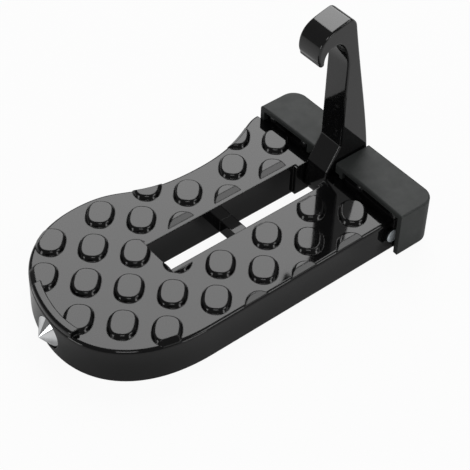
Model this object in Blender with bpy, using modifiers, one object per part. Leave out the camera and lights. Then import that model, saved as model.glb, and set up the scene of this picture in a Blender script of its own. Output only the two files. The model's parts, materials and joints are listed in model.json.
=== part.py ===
"""Car door latch step: a die-cast tread with a folding hook that hangs on a car's door striker.

Blender 4.5, metres, +Z up. Drawing frame: X = 0 on the hinge pin's axis, Y = 0 in the middle of the slot,
+X towards the car, toe at -X, Z = 0 on the skirt's bottom rim. The empty "step_origin" moves the whole step
so that the world origin is the bottom centre of its box.
"""

import math

import bmesh
import bpy
from mathutils import Matrix, Vector
from mathutils.geometry import interpolate_bezier

MM = 0.001

# Construction
GAP = 0.3 * MM
OVERLAP = 1.0 * MM
SETBACK = 0.1 * MM
FAR = 60.0 * MM
ROUND = 32
QUARTER_REACH = 0.55

# Hinge pin
PIN_RADIUS = 2.5 * MM
PIN_HEAD_RADIUS = 3.5 * MM
PIN_HEAD_THICKNESS = 0.9 * MM

# Folding hook, side profile. A place is X and the height above the pin's axis. A bend is a heading in degrees
# and how far the curve is drawn along it before and after the place.
HOOK_WIDTH = 13.5 * MM
HOOK_EDGE = 0.5 * MM
HUB_RADIUS = 7.0 * MM
HUB_FRONT_REACH = 2.0 * MM
HEEL_LOW = (-6.1 * MM, 12.5 * MM)
HEEL_HIGH = (0.8 * MM, 24.6 * MM)
STRAP_FRONT_X = 1.0 * MM
STRAP_FOOT = 25.4 * MM
THROAT_FOOT = 69.7 * MM
THROAT_FOOT_BEND = (90, 10.0 * MM, 6.0 * MM)
THROAT_TOP = (-6.5 * MM, 85.1 * MM)
THROAT_TOP_BEND = (180, 3.6 * MM, 4.0 * MM)
TIP_IN = (-13.3 * MM, 78.4 * MM)
TIP_IN_BEND = (270, 5.0 * MM, 1.7 * MM)
TIP_OUT = (-15.9 * MM, 78.4 * MM)
TIP_OUT_BEND = (90, 1.7 * MM, 1.5 * MM)
JAW = (-16.9 * MM, 83.1 * MM)
JAW_BEND = (90, 3.5 * MM, 6.0 * MM)
SHOULDER = (-9.1 * MM, 93.4 * MM)
SHOULDER_BEND = (17, 4.5 * MM, 3.0 * MM)
CROWN = (-0.7 * MM, 95.5 * MM)
CROWN_BEND = (12, 2.5 * MM, 1.6 * MM)
BACK_TOP = (4.0 * MM, 91.1 * MM)
BACK_TOP_BEND = (280, 2.4 * MM, 5.0 * MM)
BACK_MIDDLE = (8.3 * MM, 69.1 * MM)
BACK_MIDDLE_BEND = (281.5, 7.0 * MM, 14.0 * MM)
BACK_FOOT = (18.4 * MM, 15.3 * MM)
BACK_FOOT_BEND = (276, 14.0 * MM, 2.0 * MM)
FOOT_ROUND = 4.6 * MM
FOOT_ROUND_REACH = 2.4 * MM

# Hinge: the pin's height, the cheeks beside the hub, and the ledge that the upright hook leans on
HUB_LIFT = 0.9 * MM
PIN_Z = HUB_RADIUS + HUB_LIFT
CHEEK_THICKNESS = 2.8 * MM
CHEEK_FRONT = 12.0 * MM
CHEEK_DROP = 0.6 * MM
LEDGE_RISE = 1.6 * MM

# Tread casting, plan outline: distances from the pin's axis and the slot's middle, and reaches of the curves
TREAD_LENGTH = 153.4 * MM
TOE_NOSE_Y = -4.5 * MM
TOE_REACH = (22.5 * MM, 15.0 * MM)
SIDE_Y = 45.0 * MM
SIDE_END_X = 102.5 * MM
SIDE_END_REACH = 34.5 * MM
LOBE_X = 105.5 * MM
LOBE_Y = 47.5 * MM
LOBE_REACH = (40.0 * MM, 25.0 * MM)
WAIST_X = 49.5 * MM
WAIST_Y = 35.0 * MM
WAIST_REACH = (35.0 * MM, 30.5 * MM)
HEEL_Y = 46.5 * MM
HEEL_REACH = 9.5 * MM
OUTLINE_STEPS = 12

# Tread casting, section
SKIRT_HEIGHT = 17.8 * MM
DECK_THICKNESS = 3.2 * MM
WALL = 2.8 * MM
EDGE_RADIUS = 1.8 * MM
RIB_THICKNESS = 2.2 * MM
RIB_CLEARANCE = 3.0 * MM
RIB_X = (24.0 * MM, 80.0 * MM, 108.0 * MM)

# Slot that takes the folded hook, and the bridge bar across it
SLOT_SIDE_CLEARANCE = 2.25 * MM
SLOT_END_CLEARANCE = 0.8 * MM
SLOT_WIDTH = HOOK_WIDTH + 2 * SLOT_SIDE_CLEARANCE
SLOT_FRONT = CROWN[1] + SLOT_END_CLEARANCE
SLOT_WALL_LIFT = 1.0 * MM
BAR_X = 51.6 * MM
BAR_WIDTH = 6.6 * MM
BAR_CLEARANCE = 1.0 * MM
BAR_TOP = PIN_Z + STRAP_FRONT_X - BAR_CLEARANCE

# Raised pads of the tread
PAD_LENGTH = 14.2 * MM
PAD_WIDTH = 10.7 * MM
PAD_SQUARENESS = 2.5
PAD_FLARE = 1.0 * MM
PAD_HEIGHT = 2.0 * MM
PAD_EDGE = 0.45 * MM
PAD_SEGMENTS = 24
PAD_START = Vector((-143.6, -8.3)) * MM
PAD_STEP_I = Vector((12.33, -13.68)) * MM
PAD_STEP_J = Vector((14.33, 14.86)) * MM
PAD_ROWS = ((0, 2), (-1, 4), (-1, 5), (0, 6), (1, 6), (3, 4), (3, 4))
PAD_SLOT_MARGIN = 5.0 * MM
PAD_SLOT_SETBACK = 2.0 * MM
PAD_RIM_OVERHANG = 0.7 * MM

# Raised lip on the toe
LIP_HEIGHT = 3.0 * MM
LIP_WIDTH = 4.5 * MM
LIP_EDGE = 1.5 * MM
LIP_INSET = 0.15 * MM
LIP_FOOT_INSET = EDGE_RADIUS + 0.6 * MM
LIP_Y = (-14.7 * MM, 17.3 * MM)
LIP_STEPS = 17

# Rear flange
FLANGE_FRONT = -0.1 * MM
FLANGE_THICKNESS = 5.2 * MM
FLANGE_BOTTOM = 2.0 * MM

# Rubber bumper. One end covers the tread's side and the pin's head, the other stands in from the heel.
BUMPER_WALL = 2.4 * MM
PIN_HEAD_ROOM = 3.8 * MM
HEEL_STEP = 2.7 * MM
BUMPER_RIGHT = -(SIDE_Y + PIN_HEAD_ROOM + BUMPER_WALL)
BUMPER_LEFT = HEEL_Y - HEEL_STEP
BUMPER_FRONT = -2.6 * MM
BUMPER_BOW = 1.0 * MM
BUMPER_BACK = 19.0 * MM
BUMPER_BOTTOM = 1.3 * MM
BUMPER_RISE = 7.2 * MM
BUMPER_TOP = SKIRT_HEIGHT + BUMPER_RISE
BUMPER_CORNER = 7.5 * MM
BUMPER_EDGE = 1.0 * MM
NOTCH_CLEARANCE = 0.35 * MM
NOTCH_WALL = 1.8 * MM
NOTCH_SILL_RISE = 0.2 * MM
NOTCH_SILL = SKIRT_HEIGHT + NOTCH_SILL_RISE
LEDGE_TOP = SKIRT_HEIGHT + LEDGE_RISE
LEDGE_BACK = BUMPER_BACK - BUMPER_WALL - GAP

# Studs that hold the bumper, with their distances from its middle as shares of half its length
STUD_SHARES = (0.4, 0.853)
STUD_HEAD_RADIUS = 2.1 * MM
STUD_HEAD_THICKNESS = 1.3 * MM
STUD_RADIUS = 1.2 * MM
STUD_LENGTH = 12.0 * MM
STUD_SEGMENTS = 20
STUD_Z = BUMPER_TOP - BUMPER_WALL - GAP - STUD_HEAD_RADIUS

# Hammer tip
HAMMER_Y = 0.8 * MM
HAMMER_Z = 8.6 * MM
HAMMER_RADIUS = 7.2 * MM
HAMMER_CONE = 5.1 * MM
HAMMER_RIM = 0.8 * MM
HAMMER_POINT = 0.35 * MM
HAMMER_RECESS = 1.8 * MM
HAMMER_SHANK_RADIUS = 3.0 * MM
HAMMER_SHANK_LENGTH = 9.0 * MM
HAMMER_BOSS_RADIUS = 7.4 * MM

PARTS = None
CUTTERS = None


def clear_scene():
    for obj in list(bpy.data.objects):
        bpy.data.objects.remove(obj)


def new_collection(name, hidden=False):
    collection = bpy.data.collections.new(name)
    bpy.context.scene.collection.children.link(collection)
    collection.hide_render = hidden
    return collection


def add_object(name, mesh, tool=False):
    """Links a mesh as a part of the step or, for a tool, as a helper that no render shows."""
    obj = bpy.data.objects.new(name, mesh)
    (CUTTERS if tool else PARTS).objects.link(obj)
    if tool:
        obj.hide_render = True
        obj.display_type = "WIRE"
    return obj


def mesh_from(name, bm):
    bmesh.ops.recalc_face_normals(bm, faces=bm.faces)
    mesh = bpy.data.meshes.new(name)
    bm.to_mesh(mesh)
    bm.free()
    return mesh


def box_between(bm, low, high):
    """Adds a box to bm from its lowest to its highest corner."""
    size = Vector(high) - Vector(low)
    middle = (Vector(high) + Vector(low)) / 2
    matrix = Matrix.Translation(middle) @ Matrix.Diagonal((*size, 1.0))
    return bmesh.ops.create_cube(bm, size=1.0, matrix=matrix)["verts"]


def box_tool(name, low, high):
    bm = bmesh.new()
    box_between(bm, low, high)
    return add_object(name, mesh_from(name, bm), tool=True)


def rod_tool(name, centre, radius, length, axis):
    """A round rod centred on a point, along one of the axes."""
    bm = bmesh.new()
    turn = Vector((0, 0, 1)).rotation_difference(Vector(axis)).to_matrix().to_4x4()
    matrix = Matrix.Translation(centre) @ turn
    bmesh.ops.create_cone(
        bm, cap_ends=True, segments=ROUND, radius1=radius, radius2=radius, depth=length, matrix=matrix
    )
    return add_object(name, mesh_from(name, bm), tool=True)


def boolean(obj, operation, tool):
    modifier = obj.modifiers.new(operation.lower() + "_" + tool.name, "BOOLEAN")
    modifier.operation = operation
    modifier.solver = "EXACT"
    modifier.object = tool


def smooth(obj, angle=32.0):
    obj.data.shade_smooth()
    obj.data.set_sharp_from_angle(angle=math.radians(angle))


def set_material(obj, name, colour, roughness, metallic):
    material = bpy.data.materials.get(name) or bpy.data.materials.new(name)
    material.use_nodes = True
    shader = material.node_tree.nodes["Principled BSDF"]
    shader.inputs["Base Color"].default_value = (*colour, 1.0)
    shader.inputs["Roughness"].default_value = roughness
    shader.inputs["Metallic"].default_value = metallic
    obj.data.materials.clear()
    obj.data.materials.append(material)


def knot(x, y, heading=None, reach_in=0.0, reach_out=0.0):
    """A point of an outline. The curve passes it at heading, in degrees, and a reach of 0 leaves a corner."""
    point = Vector((x, y, 0.0))
    way = Vector((math.cos(math.radians(heading or 0.0)), math.sin(math.radians(heading or 0.0)), 0.0))
    return point - way * reach_in, point, point + way * reach_out


def outline_points(knots, steps):
    """Points along an outline, anticlockwise, with one point for each corner and curved stretches in steps."""
    points = []
    for knot_here, knot_next in zip(knots, (*knots[1:], knots[0])):
        _, start, leave = knot_here
        arrive, end, _ = knot_next
        straight = (leave - start).length == 0 and (arrive - end).length == 0
        count = 2 if straight else steps + 1
        points += interpolate_bezier(start, leave, arrive, end, count)[:-1]
    area = sum(a.x * b.y - a.y * b.x for a, b in zip(points, points[1:] + points[:1]))
    return points if area > 0 else points[::-1]


def grown(points, distance):
    """The outline moved outwards by a distance, with mitred corners."""
    moved = []
    for before, here, after in zip(points[-1:] + points[:-1], points, points[1:] + points[:1]):
        into = (here - before).normalized()
        out = (after - here).normalized()
        side = Vector((into.y + out.y, -into.x - out.x, 0))
        moved.append(here + side * distance / (1 + into.dot(out)))
    return moved


def rim_levels(low, high, grow=0.0, rim=0.0, rim_steps=1, both=False):
    """Heights of a plate's rings, each with how far it is grown. The rim is rounded, or sloped in one step."""
    round_off = []
    for step in range(rim_steps + 1):
        turn = math.pi / 2 * step / rim_steps
        round_off.append((rim * math.sin(turn), rim * (1 - math.cos(turn))))
    top = [(high - rim + rise, grow - inward) for rise, inward in round_off] if rim else [(high, grow)]
    if both:
        bottom = [(low + rim - rise, grow - inward) for rise, inward in reversed(round_off)]
    else:
        bottom = [(low, grow)]
    return bottom + top


def plate(name, knots, levels, steps=OUTLINE_STEPS, upright=False, tool=True):
    """A flat plate of the outline with one ring of points for each level. An upright plate is drawn in XZ."""
    points = outline_points(knots, steps)
    bm = bmesh.new()
    rings = []
    for height, grow in levels:
        ring = [bm.verts.new((point.x, point.y, height)) for point in grown(points, grow)]
        rings.append(ring)
    for lower, upper in zip(rings, rings[1:]):
        for i in range(len(points)):
            j = (i + 1) % len(points)
            bm.faces.new((lower[i], lower[j], upper[j], upper[i]))
    bm.faces.new(rings[0][::-1])
    bm.faces.new(rings[-1])
    if upright:
        bmesh.ops.transform(bm, matrix=Matrix.Rotation(math.pi / 2, 4, "X"), verts=bm.verts)
    return add_object(name, mesh_from(name, bm), tool=tool)


def tread_outline():
    """The tread from above: straight side at -Y, round toe, waisted side at +Y, rear inside the flange."""
    rear = FLANGE_FRONT + FLANGE_THICKNESS - OVERLAP
    return (
        knot(rear, -SIDE_Y),
        knot(-SIDE_END_X, -SIDE_Y, 180, reach_out=SIDE_END_REACH),
        knot(-TREAD_LENGTH, TOE_NOSE_Y, 90, *TOE_REACH),
        knot(-LOBE_X, LOBE_Y, 0, *LOBE_REACH),
        knot(-WAIST_X, WAIST_Y, 0, *WAIST_REACH),
        knot(BUMPER_FRONT, HEEL_Y, 0, reach_in=HEEL_REACH),
        knot(rear, HEEL_Y),
    )


def underside_core():
    """What is hollow under the deck, with the slot's walls, the ribs and the hammer boss left standing."""
    ceiling = SKIRT_HEIGHT - DECK_THICKNESS
    core = plate("underside_core", tread_outline(), rim_levels(-FAR, ceiling, grow=-WALL))
    wall_y = SLOT_WIDTH / 2 + WALL
    slot_walls = box_tool("core_slot_walls", (-SLOT_FRONT - WALL, -wall_y, -2 * FAR), (FAR, wall_y, FAR))
    boolean(core, "DIFFERENCE", slot_walls)
    half = RIB_THICKNESS / 2
    for number, distance in enumerate((*RIB_X, BAR_X), start=1):
        low = (-distance - half, -2 * FAR, RIB_CLEARANCE)
        high = (-distance + half, 2 * FAR, FAR)
        boolean(core, "DIFFERENCE", box_tool(f"core_rib_{number}", low, high))
    low = (-2 * TREAD_LENGTH, HAMMER_Y - half, RIB_CLEARANCE)
    high = (-SLOT_FRONT, HAMMER_Y + half, FAR)
    boolean(core, "DIFFERENCE", box_tool("core_keel", low, high))
    boss_depth = HAMMER_RECESS + HAMMER_SHANK_LENGTH + 2 * GAP + WALL
    boss = rod_tool(
        "core_hammer_boss", (-TREAD_LENGTH, HAMMER_Y, HAMMER_Z), HAMMER_BOSS_RADIUS, 2 * boss_depth, (1, 0, 0)
    )
    boolean(core, "DIFFERENCE", boss)
    return core


def pad_centres():
    for j, (first, last) in enumerate(PAD_ROWS):
        for i in range(first, last + 1):
            centre = PAD_START + PAD_STEP_I * i + PAD_STEP_J * j
            in_slot = centre.x > -SLOT_FRONT and abs(centre.y) < PAD_SLOT_MARGIN
            if not in_slot:
                yield centre


def squared(share):
    """A coordinate of the unit circle, moved out towards a square."""
    return math.copysign(abs(share) ** (2 / PAD_SQUARENESS), share)


def pads():
    """Oval pads with a rounded top edge, trimmed along the slot and the tread's edge."""
    bm = bmesh.new()
    root = OVERLAP
    foot_growth = PAD_FLARE * (1 + root / PAD_HEIGHT)
    turn = Matrix.Rotation(math.atan2(PAD_STEP_J.y, PAD_STEP_J.x), 4, "Z")
    for centre in pad_centres():
        made = bmesh.ops.create_cone(
            bm,
            cap_ends=True,
            segments=PAD_SEGMENTS,
            radius1=1.0,
            radius2=1.0,
            depth=PAD_HEIGHT + root,
        )["verts"]
        top = [vert for vert in made if vert.co.z > 0]
        for vert in made:
            growth = 0.0 if vert.co.z > 0 else foot_growth
            vert.co.x = (PAD_LENGTH / 2 + growth) * squared(vert.co.x)
            vert.co.y = (PAD_WIDTH / 2 + growth) * squared(vert.co.y)
        edges = {edge for vert in top for edge in vert.link_edges if all(end in top for end in edge.verts)}
        middle = Vector((centre.x, centre.y, SKIRT_HEIGHT + (PAD_HEIGHT - root) / 2))
        bmesh.ops.transform(bm, matrix=Matrix.Translation(middle) @ turn, verts=made)
        bmesh.ops.bevel(bm, geom=list(edges), offset=PAD_EDGE, segments=1, affect="EDGES")
    grid = add_object("pad_grid", mesh_from("pad_grid", bm), tool=True)

    reach = PAD_HEIGHT + OVERLAP
    inset = EDGE_RADIUS - PAD_RIM_OVERHANG
    levels = rim_levels(SKIRT_HEIGHT - reach, SKIRT_HEIGHT + reach, grow=-inset, rim=reach)
    boolean(grid, "INTERSECT", plate("pad_limit", tread_outline(), levels, steps=LIP_STEPS))

    wedge = bmesh.new()
    low = (-SLOT_FRONT, -SLOT_WIDTH / 2, SKIRT_HEIGHT - PAD_SLOT_SETBACK)
    high = (FAR, SLOT_WIDTH / 2, SKIRT_HEIGHT + reach)
    for vert in box_between(wedge, low, high):
        if vert.co.z > SKIRT_HEIGHT:
            vert.co.y += math.copysign(reach + PAD_SLOT_SETBACK, vert.co.y)
            if vert.co.x < 0:
                vert.co.x -= OVERLAP
    boolean(grid, "DIFFERENCE", add_object("pad_slot_trim", mesh_from("pad_slot_trim", wedge), tool=True))
    return grid


def toe_lip():
    """The ridge along the front of the toe. It stands on the deck's rounded edge and is cut off square."""
    low = SKIRT_HEIGHT - EDGE_RADIUS
    high = SKIRT_HEIGHT + LIP_HEIGHT
    ridge = rim_levels(SKIRT_HEIGHT, high, grow=-LIP_INSET, rim=LIP_EDGE, rim_steps=2)
    lip = plate("toe_lip", tread_outline(), [(low, -LIP_FOOT_INSET), *ridge], steps=LIP_STEPS)
    levels = rim_levels(low - FAR, high + FAR, grow=-LIP_WIDTH)
    inside = plate("toe_lip_inside", tread_outline(), levels, steps=LIP_STEPS)
    boolean(lip, "DIFFERENCE", inside)
    reach = box_tool("toe_lip_reach", (-2 * TREAD_LENGTH, LIP_Y[0], -FAR), (-LOBE_X, LIP_Y[1], 2 * FAR))
    boolean(lip, "INTERSECT", reach)
    return lip


def hinge_half():
    """Half the width of the hub with both cheeks."""
    return HOOK_WIDTH / 2 + GAP + CHEEK_THICKNESS


def notch_half():
    return hinge_half() + NOTCH_CLEARANCE


def stud_places():
    middle = (BUMPER_RIGHT + BUMPER_LEFT) / 2
    half = (BUMPER_LEFT - BUMPER_RIGHT) / 2
    return sorted(middle + side * share * half for side in (-1, 1) for share in STUD_SHARES)


def flange():
    """The upright plate that carries the bumper, lowered in the middle where the hook passes."""
    low = (FLANGE_FRONT, BUMPER_RIGHT + BUMPER_WALL + GAP, FLANGE_BOTTOM)
    back = FLANGE_FRONT + FLANGE_THICKNESS
    high = (back, BUMPER_LEFT - BUMPER_WALL + OVERLAP, BUMPER_TOP - BUMPER_WALL - GAP)
    body = box_tool("flange", low, high)
    gate_y = notch_half() + NOTCH_WALL + GAP
    gate = box_tool("flange_gate", (-FAR, -gate_y, SKIRT_HEIGHT - GAP), (FAR, gate_y, FAR))
    boolean(body, "DIFFERENCE", gate)
    return body


def hinge_block():
    """The cheeks beside the hub and the ledge that the upright hook leans on."""
    half = hinge_half()
    low = (-CHEEK_FRONT, -half, SLOT_WALL_LIFT)
    high = (LEDGE_BACK, half, SKIRT_HEIGHT - CHEEK_DROP)
    block = box_tool("hinge_block", low, high)
    low = (HUB_RADIUS - OVERLAP, SETBACK - half, SKIRT_HEIGHT - CHEEK_DROP - OVERLAP)
    high = (LEDGE_BACK - SETBACK, half - SETBACK, LEDGE_TOP)
    boolean(block, "UNION", box_tool("hinge_ledge", low, high))
    return block


def slot_cutters():
    """The slot's three openings, which leave the bridge bar standing, and the trim under the slot's walls."""
    half = SLOT_WIDTH / 2
    bar_front = -BAR_X - BAR_WIDTH / 2
    bar_back = -BAR_X + BAR_WIDTH / 2
    rear = OVERLAP - CHEEK_FRONT
    rim = WALL + OVERLAP
    yield box_tool("slot_above_bar", (-SLOT_FRONT, -half, BAR_TOP), (rear, half, FAR))
    yield box_tool("slot_front", (-SLOT_FRONT, -half, -FAR), (bar_front, half, BAR_TOP + OVERLAP))
    yield box_tool("slot_rear", (bar_back, -half, -FAR), (rear, half, BAR_TOP + OVERLAP))
    yield box_tool("slot_wall_trim", (-SLOT_FRONT - rim, -half - rim, -FAR), (FAR, half + rim, SLOT_WALL_LIFT))


def bores():
    """Room for the hub, the pin with its head, the hammer tip and the studs."""
    hub_half = HOOK_WIDTH / 2 + GAP
    yield box_tool("hub_room", (-CHEEK_FRONT - OVERLAP, -hub_half, -FAR), (HUB_RADIUS + GAP, hub_half, FAR))

    bore_end = hinge_half() + GAP
    bore_start = -SIDE_Y - FAR
    middle = (0, (bore_start + bore_end) / 2, PIN_Z)
    yield rod_tool("pin_bore", middle, PIN_RADIUS + GAP, bore_end - bore_start, (0, 1, 0))
    middle = (0, -SIDE_Y - SETBACK - FAR / 2, PIN_Z)
    yield rod_tool("pin_head_room", middle, PIN_HEAD_RADIUS + 2 * GAP, FAR, (0, 1, 0))

    seat = HAMMER_RECESS - TREAD_LENGTH
    middle = (seat - FAR / 2, HAMMER_Y, HAMMER_Z)
    yield rod_tool("hammer_recess", middle, HAMMER_RADIUS + GAP, FAR, (1, 0, 0))
    depth = HAMMER_SHANK_LENGTH + 2 * GAP
    middle = (seat, HAMMER_Y, HAMMER_Z)
    yield rod_tool("hammer_socket", middle, HAMMER_SHANK_RADIUS + GAP, 2 * depth, (1, 0, 0))

    for number, y in enumerate(stud_places(), start=1):
        middle = (FLANGE_FRONT, y, STUD_Z)
        yield rod_tool(f"stud_hole_{number}", middle, STUD_RADIUS + GAP, 4 * FLANGE_THICKNESS, (1, 0, 0))


def tread_casting():
    levels = rim_levels(0, SKIRT_HEIGHT, rim=EDGE_RADIUS, rim_steps=2)
    casting = plate("tread_casting", tread_outline(), levels, tool=False)
    boolean(casting, "DIFFERENCE", underside_core())
    boolean(casting, "UNION", flange())
    corner = (BUMPER_FRONT - GAP, BUMPER_LEFT - BUMPER_WALL - GAP, -FAR)
    boolean(casting, "DIFFERENCE", box_tool("heel_corner_trim", corner, (FAR, 2 * FAR, FAR)))
    boolean(casting, "UNION", pads())
    boolean(casting, "UNION", toe_lip())
    for cutter in slot_cutters():
        boolean(casting, "DIFFERENCE", cutter)
    boolean(casting, "UNION", hinge_block())
    for cutter in bores():
        boolean(casting, "DIFFERENCE", cutter)
    smooth(casting)
    set_material(casting, "gloss_black_enamel", (0.012, 0.012, 0.013), 0.12, 0.0)
    return casting


def bumper_outline():
    """The bumper seen from above, with a slightly hollow front."""
    corner = BUMPER_CORNER
    bend = corner * QUARTER_REACH
    third = (BUMPER_LEFT - BUMPER_RIGHT) / 3
    bow = math.degrees(math.atan2(BUMPER_BOW * 4 / 3, third))
    return (
        knot(BUMPER_FRONT, BUMPER_RIGHT, 270 - bow, reach_in=third),
        knot(BUMPER_BACK - corner, BUMPER_RIGHT, 0, reach_out=bend),
        knot(BUMPER_BACK, BUMPER_RIGHT + corner, 90, reach_in=bend),
        knot(BUMPER_BACK, BUMPER_LEFT - corner, 90, reach_out=bend),
        knot(BUMPER_BACK - corner, BUMPER_LEFT, 180, reach_in=bend),
        knot(BUMPER_FRONT, BUMPER_LEFT, 270 + bow, reach_out=third),
    )


def bumper():
    """The rubber cover of the flange: two wings joined by a low sill behind the hook."""
    levels = rim_levels(BUMPER_BOTTOM, BUMPER_TOP, rim=BUMPER_EDGE, rim_steps=2, both=True)
    cover = plate("bumper", bumper_outline(), levels, steps=8, tool=False)
    front = BUMPER_FRONT - OVERLAP
    back = FLANGE_FRONT + FLANGE_THICKNESS + GAP
    top = BUMPER_TOP - BUMPER_WALL
    half = notch_half()
    inner = half + NOTCH_WALL
    rooms = (
        ("pocket_right", (front, BUMPER_RIGHT + BUMPER_WALL, -FAR), (back, -inner, top)),
        ("pocket_left", (front, inner, -FAR), (back, BUMPER_LEFT - BUMPER_WALL, top)),
        ("pocket_middle", (front, -inner - OVERLAP, -FAR), (back, inner + OVERLAP, NOTCH_SILL + GAP)),
        ("notch", (front, -half, -FAR), (LEDGE_BACK + GAP, half, FAR)),
        ("notch_back", (LEDGE_BACK, -half, NOTCH_SILL), (FAR, half, FAR)),
    )
    for name, low, high in rooms:
        boolean(cover, "DIFFERENCE", box_tool(name, low, high))
    for number, y in enumerate(stud_places(), start=1):
        middle = (FLANGE_FRONT, y, STUD_Z)
        depth = STUD_LENGTH + 2 * GAP
        hole = rod_tool(f"bumper_hole_{number}", middle, STUD_RADIUS + GAP, 2 * depth, (1, 0, 0))
        boolean(cover, "DIFFERENCE", hole)
    smooth(cover)
    set_material(cover, "black_rubber", (0.075, 0.08, 0.078), 0.55, 0.0)
    return cover


def turned(name, profile, along, place, segments=ROUND):
    """A turned piece: the profile is (radius, height) from top to bottom, and its top points along."""
    bm = bmesh.new()
    previous = None
    for radius, height in profile:
        vert = bm.verts.new((radius, 0, height))
        if previous:
            bm.edges.new((previous, vert))
        previous = vert
    mesh = bpy.data.meshes.new(name)
    bm.to_mesh(mesh)
    bm.free()
    obj = add_object(name, mesh)
    screw = obj.modifiers.new("turn", "SCREW")
    screw.axis = "Z"
    screw.steps = segments
    screw.render_steps = segments
    screw.use_merge_vertices = True
    screw.merge_threshold = 0.005 * MM
    screw.use_smooth_shade = True
    obj.rotation_euler = Vector((0, 0, 1)).rotation_difference(Vector(along)).to_euler()
    obj.location = place
    return obj


def domed(radius, height):
    """The profile of a domed head, from its top to its rim."""
    return ((0, height), (0.6 * radius, 0.85 * height), (0.9 * radius, 0.5 * height), (radius, 0))


def bumper_studs():
    """Round-headed studs through the flange into the rubber."""
    profile = (
        *domed(STUD_HEAD_RADIUS, STUD_HEAD_THICKNESS),
        (STUD_RADIUS, 0),
        (STUD_RADIUS, -STUD_LENGTH),
        (0, -STUD_LENGTH),
    )
    for number, y in enumerate(stud_places(), start=1):
        seat = (FLANGE_FRONT - GAP, y, STUD_Z)
        stud = turned(f"bumper_stud_{number}", profile, (-1, 0, 0), seat, STUD_SEGMENTS)
        set_material(stud, "black_stud", (0.02, 0.02, 0.021), 0.25, 0.0)


def hinge_pin():
    """The pin through the side wall, both cheeks and the hub, with its domed end outside the wall."""
    face = SIDE_Y + GAP
    length = face + hinge_half() - GAP
    profile = (
        *domed(PIN_HEAD_RADIUS, PIN_HEAD_THICKNESS),
        (PIN_RADIUS, 0),
        (PIN_RADIUS, -length),
        (0, -length),
    )
    pin = turned("hinge_pin", profile, (0, -1, 0), (0, -face, PIN_Z))
    set_material(pin, "zinc_plated_steel", (0.6, 0.63, 0.66), 0.3, 1.0)
    return pin


def hammer_tip():
    """The chromed cone that breaks side glass, with its shank in the toe's boss."""
    shoulder = HAMMER_RIM
    point = shoulder + HAMMER_CONE
    profile = (
        (0, point),
        (HAMMER_POINT, point - HAMMER_POINT / 2),
        (HAMMER_RADIUS, shoulder),
        (HAMMER_RADIUS, 0),
        (HAMMER_SHANK_RADIUS, 0),
        (HAMMER_SHANK_RADIUS, -HAMMER_SHANK_LENGTH),
        (0, -HAMMER_SHANK_LENGTH),
    )
    seat = (HAMMER_RECESS - TREAD_LENGTH - GAP, HAMMER_Y, HAMMER_Z)
    tip = turned("hammer_tip", profile, (-1, 0, 0), seat)
    set_material(tip, "chrome", (0.85, 0.86, 0.88), 0.08, 1.0)
    return tip


def hook_outline():
    """The hook from the side, in X and height above the pin: hub, heel, strap, throat, jaw, crown and back."""
    hub = HUB_RADIUS
    bend = hub * QUARTER_REACH
    underside = LEDGE_TOP + GAP - PIN_Z
    return (
        knot(hub, 0, 270, reach_out=bend),
        knot(0, -hub, 180, bend, bend),
        knot(-hub, 0, 90, bend, HUB_FRONT_REACH),
        knot(*HEEL_LOW),
        knot(*HEEL_HIGH),
        knot(STRAP_FRONT_X, STRAP_FOOT),
        knot(STRAP_FRONT_X, THROAT_FOOT, *THROAT_FOOT_BEND),
        knot(*THROAT_TOP, *THROAT_TOP_BEND),
        knot(*TIP_IN, *TIP_IN_BEND),
        knot(*TIP_OUT, *TIP_OUT_BEND),
        knot(*JAW, *JAW_BEND),
        knot(*SHOULDER, *SHOULDER_BEND),
        knot(*CROWN, *CROWN_BEND),
        knot(*BACK_TOP, *BACK_TOP_BEND),
        knot(*BACK_MIDDLE, *BACK_MIDDLE_BEND),
        knot(*BACK_FOOT, *BACK_FOOT_BEND),
        knot(BACK_FOOT[0] - FOOT_ROUND, underside, 180, reach_in=FOOT_ROUND_REACH),
        knot(hub, underside),
    )


def folding_hook():
    """The hook on its pin. Its object's origin is on the pin's axis."""
    half = HOOK_WIDTH / 2
    levels = rim_levels(-half, half, rim=HOOK_EDGE, both=True)
    hook = plate("folding_hook", hook_outline(), levels, steps=7, upright=True, tool=False)
    hook.location = (0, 0, PIN_Z)
    bore = rod_tool("hook_bore", (0, 0, PIN_Z), PIN_RADIUS + GAP, FAR, (0, 1, 0))
    boolean(hook, "DIFFERENCE", bore)
    smooth(hook)
    set_material(hook, "gloss_black_hook", (0.012, 0.012, 0.013), 0.15, 0.0)
    return hook


def box_middle():
    """The middle of the whole step's box, seen from above."""
    front = HAMMER_RECESS - TREAD_LENGTH - GAP - HAMMER_RIM - HAMMER_CONE
    return Vector(((front + BUMPER_BACK) / 2, (BUMPER_RIGHT + LOBE_Y) / 2, 0))


def main():
    global PARTS, CUTTERS
    clear_scene()
    PARTS = new_collection("car_door_latch_step")
    CUTTERS = new_collection("cutters", hidden=True)
    tread_casting()
    bumper()
    bumper_studs()
    hinge_pin()
    hammer_tip()
    folding_hook()
    origin = bpy.data.objects.new("step_origin", None)
    PARTS.objects.link(origin)
    origin.location = -box_middle()
    for obj in (*PARTS.objects, *CUTTERS.objects):
        if obj is not origin:
            obj.parent = origin
    bpy.context.view_layer.update()


main()
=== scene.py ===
"""Looks of the car door latch step: finer skins for its pieces, their materials, the studio and the camera.

Metres, +Z up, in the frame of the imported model. The skins are drawn with X = 0 on the hinge pin's axis,
Y = 0 in the middle of the slot and Z = 0 on the skirt's bottom rim, and each is then moved to its place.
"""

import json
import math

import bmesh
import bpy
from mathutils import Matrix, Vector
from mathutils.geometry import interpolate_bezier

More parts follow.
